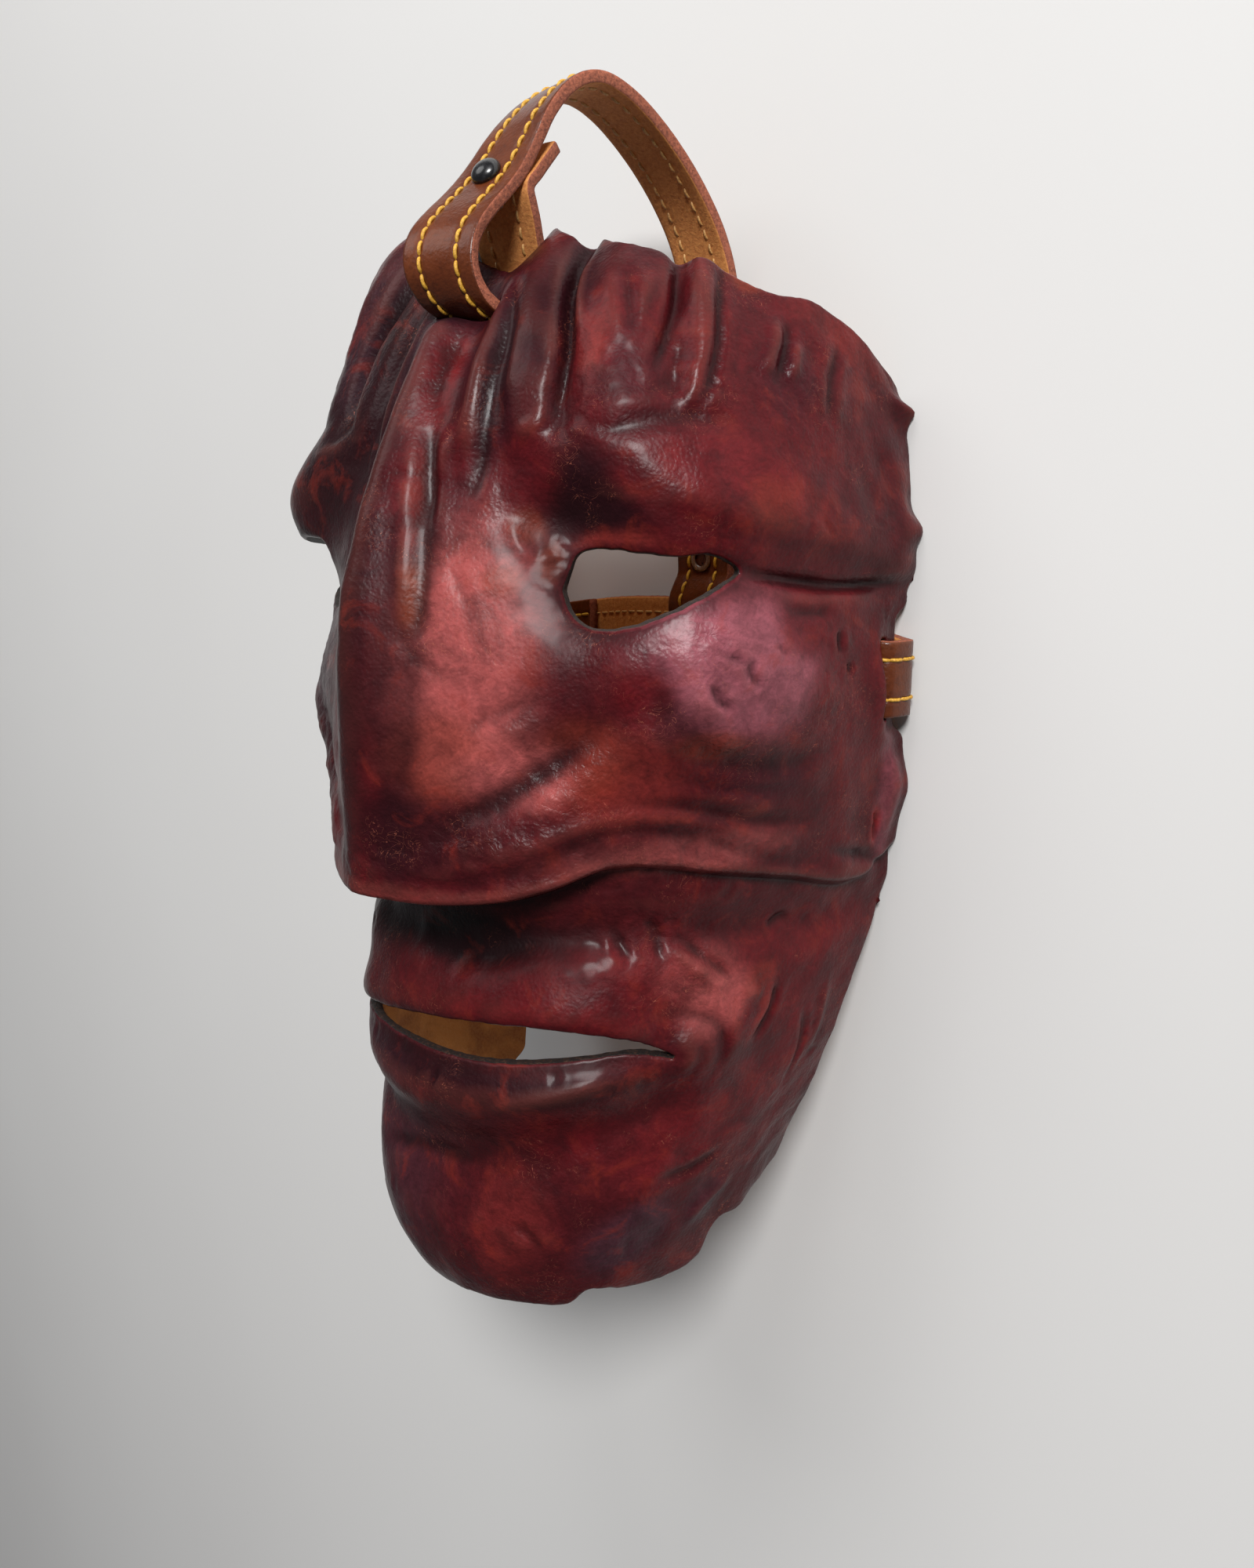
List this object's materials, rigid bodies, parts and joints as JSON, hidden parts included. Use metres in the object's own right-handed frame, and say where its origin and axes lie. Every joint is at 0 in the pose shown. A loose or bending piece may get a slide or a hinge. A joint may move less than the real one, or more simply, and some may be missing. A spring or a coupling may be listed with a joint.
{
  "type": "mamuthones mask",
  "caption": "Deep hollow face mask of moulded dyed leather with pleated brow, long ridged nose, open eyes and mouth, and riveted head straps, lying face up.",
  "frame": {"origin": "under the middle of the whole mask with its straps, on the surface it lies on", "axes": "+X to the viewer's right when facing the mask, +Y from the chin to the brow, +Z out of the face"},
  "size_m": [0.165, 0.3276, 0.1293],
  "materials": {
    "dyed_leather": "mottled dye, satin gloss",
    "strap_leather": "smooth brown, stitched",
    "black_cap": "black enamel, gloss",
    "rivet_back": "dull plated"
  },
  "bodies": {
    "root": {"mask_shell": "dyed_leather", "crown_strap": "strap_leather", "rear_band": "strap_leather", "front_rivet_cap": "black_cap", "front_rivet_back": "rivet_back", "rear_rivet_cap": "black_cap", "rear_rivet_back": "rivet_back", "right_rivet_cap": "black_cap", "right_rivet_back": "rivet_back", "left_rivet_cap": "black_cap", "left_rivet_back": "rivet_back"}
  },
  "joints": []
}
